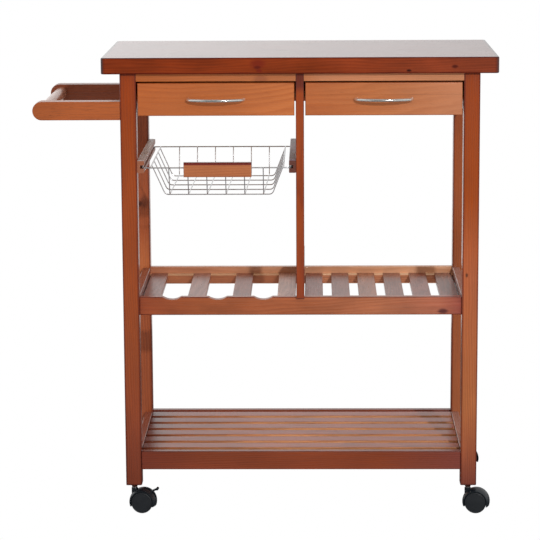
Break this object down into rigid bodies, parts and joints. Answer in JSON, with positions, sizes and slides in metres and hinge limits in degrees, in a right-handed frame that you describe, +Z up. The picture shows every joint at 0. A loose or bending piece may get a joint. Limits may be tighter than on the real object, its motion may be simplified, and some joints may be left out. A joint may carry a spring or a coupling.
{
  "type": "kitchen cart",
  "caption": "Slim wooden kitchen cart with two drawers, a sliding wire basket, a bottle rack, slatted shelves, a towel handle and swivel casters.",
  "frame": {"origin": "centre of the whole cart's outline on the floor, with its handle, board and pulls inside the outline", "axes": "+X to the right with the towel handle at -X, +Y to the back so that drawers open to -Y, +Z up"},
  "size_m": [0.8, 0.359, 0.8075],
  "materials": {
    "board_wood": "glossy clear lacquer over red-brown stain",
    "leg_wood": "satin lacquer over red-brown stain",
    "rail_wood": "satin lacquer over red-brown stain",
    "post_wood": "satin lacquer over red-brown stain",
    "slat_wood": "glossy lacquer over red-brown stain",
    "batten_wood": "satin lacquer over red-brown stain",
    "drawer_wood": "satin lacquer over light orange stain",
    "handle_wood": "satin lacquer over orange stain",
    "runner_wood": "satin lacquer",
    "grip_wood": "satin lacquer, rounded front",
    "inner_wood": "plain sanded wood",
    "dowel_wood": "plain turned wood",
    "pull_chrome": "bright polished plating",
    "basket_steel": "bright plated wire",
    "stem_steel": "bright turned steel",
    "screw_steel": "zinc plated",
    "socket_plastic": "brown moulded plastic",
    "hood_plastic": "smooth black moulding",
    "wheel_plastic": "dark grey moulding"
  },
  "bodies": {
    "cart_frame": {"back_aprons": "rail_wood", "basket_runners": "runner_wood", "board_cleats": "inner_wood", "bottom_rails": "rail_wood", "bottom_slats": "slat_wood", "caster_sockets": "socket_plastic", "caster_stems": "stem_steel", "centre_drawer_guide": "inner_wood", "centre_post_front": "post_wood", "centre_post_rear": "post_wood", "drawer_runners": "inner_wood", "frame_dowels": "dowel_wood", "front_top_rails": "rail_wood", "handle_arms": "handle_wood", "handle_bar": "handle_wood", "leg_front_left": "leg_wood", "leg_front_right": "leg_wood", "leg_rear_left": "leg_wood", "leg_rear_right": "leg_wood", "mid_back_rail": "rail_wood", "mid_front_rail": "rail_wood", "shelf_slats": "slat_wood", "side_aprons": "rail_wood", "side_rails": "rail_wood", "slat_battens": "batten_wood", "top_board": "board_wood", "wine_divider": "rail_wood", "wine_slats": "slat_wood", "wood_screws": "screw_steel"},
    "drawer_left": {"drawer_left_bottom": "inner_wood", "drawer_left_box": "inner_wood", "drawer_left_front": "drawer_wood", "drawer_left_pull": "pull_chrome", "drawer_left_screws": "screw_steel"},
    "drawer_right": {"drawer_right_bottom": "inner_wood", "drawer_right_box": "inner_wood", "drawer_right_front": "drawer_wood", "drawer_right_pull": "pull_chrome", "drawer_right_screws": "screw_steel"},
    "basket": {"basket_wires": "basket_steel", "basket_grip": "grip_wood"},
    "caster_front_left": {"caster_front_left_hood": "hood_plastic", "caster_front_left_axle": "stem_steel"},
    "caster_front_left_wheel_near": {"caster_front_left_wheel_near": "wheel_plastic"},
    "caster_front_left_wheel_far": {"caster_front_left_wheel_far": "wheel_plastic"},
    "caster_front_left_brake": {"caster_front_left_brake": "hood_plastic"},
    "caster_front_right": {"caster_front_right_hood": "hood_plastic", "caster_front_right_axle": "stem_steel"},
    "caster_front_right_wheel_near": {"caster_front_right_wheel_near": "wheel_plastic"},
    "caster_front_right_wheel_far": {"caster_front_right_wheel_far": "wheel_plastic"},
    "caster_rear_left": {"caster_rear_left_hood": "hood_plastic", "caster_rear_left_axle": "stem_steel"},
    "caster_rear_left_wheel_near": {"caster_rear_left_wheel_near": "wheel_plastic"},
    "caster_rear_left_wheel_far": {"caster_rear_left_wheel_far": "wheel_plastic"},
    "caster_rear_left_brake": {"caster_rear_left_brake": "hood_plastic"},
    "caster_rear_right": {"caster_rear_right_hood": "hood_plastic", "caster_rear_right_axle": "stem_steel"},
    "caster_rear_right_wheel_near": {"caster_rear_right_wheel_near": "wheel_plastic"},
    "caster_rear_right_wheel_far": {"caster_rear_right_wheel_far": "wheel_plastic"}
  },
  "joints": [
    {"name": "drawer_left_slide", "type": "slide", "parent": "cart_frame", "child": "drawer_left", "axis": [0, -1, 0], "range_m": [0, 0.2]},
    {"name": "drawer_right_slide", "type": "slide", "parent": "cart_frame", "child": "drawer_right", "axis": [0, -1, 0], "range_m": [0, 0.2]},
    {"name": "basket_slide", "type": "slide", "parent": "cart_frame", "child": "basket", "axis": [0, -1, 0], "range_m": [0, 0.2]},
    {"name": "caster_front_left_swivel", "type": "hinge", "parent": "cart_frame", "child": "caster_front_left", "pos_m": [-0.235, -0.1375, 0.038], "axis": [0, 0, 1], "continuous": true},
    {"name": "caster_front_left_roll_near", "type": "hinge", "parent": "caster_front_left", "child": "caster_front_left_wheel_near", "pos_m": [-0.22015, -0.13959, 0.019], "axis": [0.1392, 0.9903, 0], "continuous": true},
    {"name": "caster_front_left_roll_far", "type": "hinge", "parent": "caster_front_left", "child": "caster_front_left_wheel_far", "pos_m": [-0.22015, -0.13959, 0.019], "axis": [0.1392, 0.9903, 0], "continuous": true},
    {"name": "caster_front_left_brake_press", "type": "hinge", "parent": "caster_front_left", "child": "caster_front_left_brake", "pos_m": [-0.21321, -0.14056, 0.033], "axis": [0.1392, 0.9903, 0], "range_deg": [0, 22]},
    {"name": "caster_front_right_swivel", "type": "hinge", "parent": "cart_frame", "child": "caster_front_right", "pos_m": [0.355, -0.1375, 0.038], "axis": [0, 0, 1], "continuous": true},
    {"name": "caster_front_right_roll_near", "type": "hinge", "parent": "caster_front_right", "child": "caster_front_right_wheel_near", "pos_m": [0.36977, -0.14011, 0.019], "axis": [0.1736, 0.9848, 0], "continuous": true},
    {"name": "caster_front_right_roll_far", "type": "hinge", "parent": "caster_front_right", "child": "caster_front_right_wheel_far", "pos_m": [0.36977, -0.14011, 0.019], "axis": [0.1736, 0.9848, 0], "continuous": true},
    {"name": "caster_rear_left_swivel", "type": "hinge", "parent": "cart_frame", "child": "caster_rear_left", "pos_m": [-0.235, 0.1525, 0.038], "axis": [0, 0, 1], "continuous": true},
    {"name": "caster_rear_left_roll_near", "type": "hinge", "parent": "caster_rear_left", "child": "caster_rear_left_wheel_near", "pos_m": [-0.22051, 0.15638, 0.019], "axis": [-0.2588, 0.9659, 0], "continuous": true},
    {"name": "caster_rear_left_roll_far", "type": "hinge", "parent": "caster_rear_left", "child": "caster_rear_left_wheel_far", "pos_m": [-0.22051, 0.15638, 0.019], "axis": [-0.2588, 0.9659, 0], "continuous": true},
    {"name": "caster_rear_left_brake_press", "type": "hinge", "parent": "caster_rear_left", "child": "caster_rear_left_brake", "pos_m": [-0.21375, 0.15819, 0.033], "axis": [-0.2588, 0.9659, 0], "range_deg": [0, 22]},
    {"name": "caster_rear_right_swivel", "type": "hinge", "parent": "cart_frame", "child": "caster_rear_right", "pos_m": [0.355, 0.1525, 0.038], "axis": [0, 0, 1], "continuous": true},
    {"name": "caster_rear_right_roll_near", "type": "hinge", "parent": "caster_rear_right", "child": "caster_rear_right_wheel_near", "pos_m": [0.36934, 0.15689, 0.019], "axis": [-0.2924, 0.9563, 0], "continuous": true},
    {"name": "caster_rear_right_roll_far", "type": "hinge", "parent": "caster_rear_right", "child": "caster_rear_right_wheel_far", "pos_m": [0.36934, 0.15689, 0.019], "axis": [-0.2924, 0.9563, 0], "continuous": true}
  ]
}
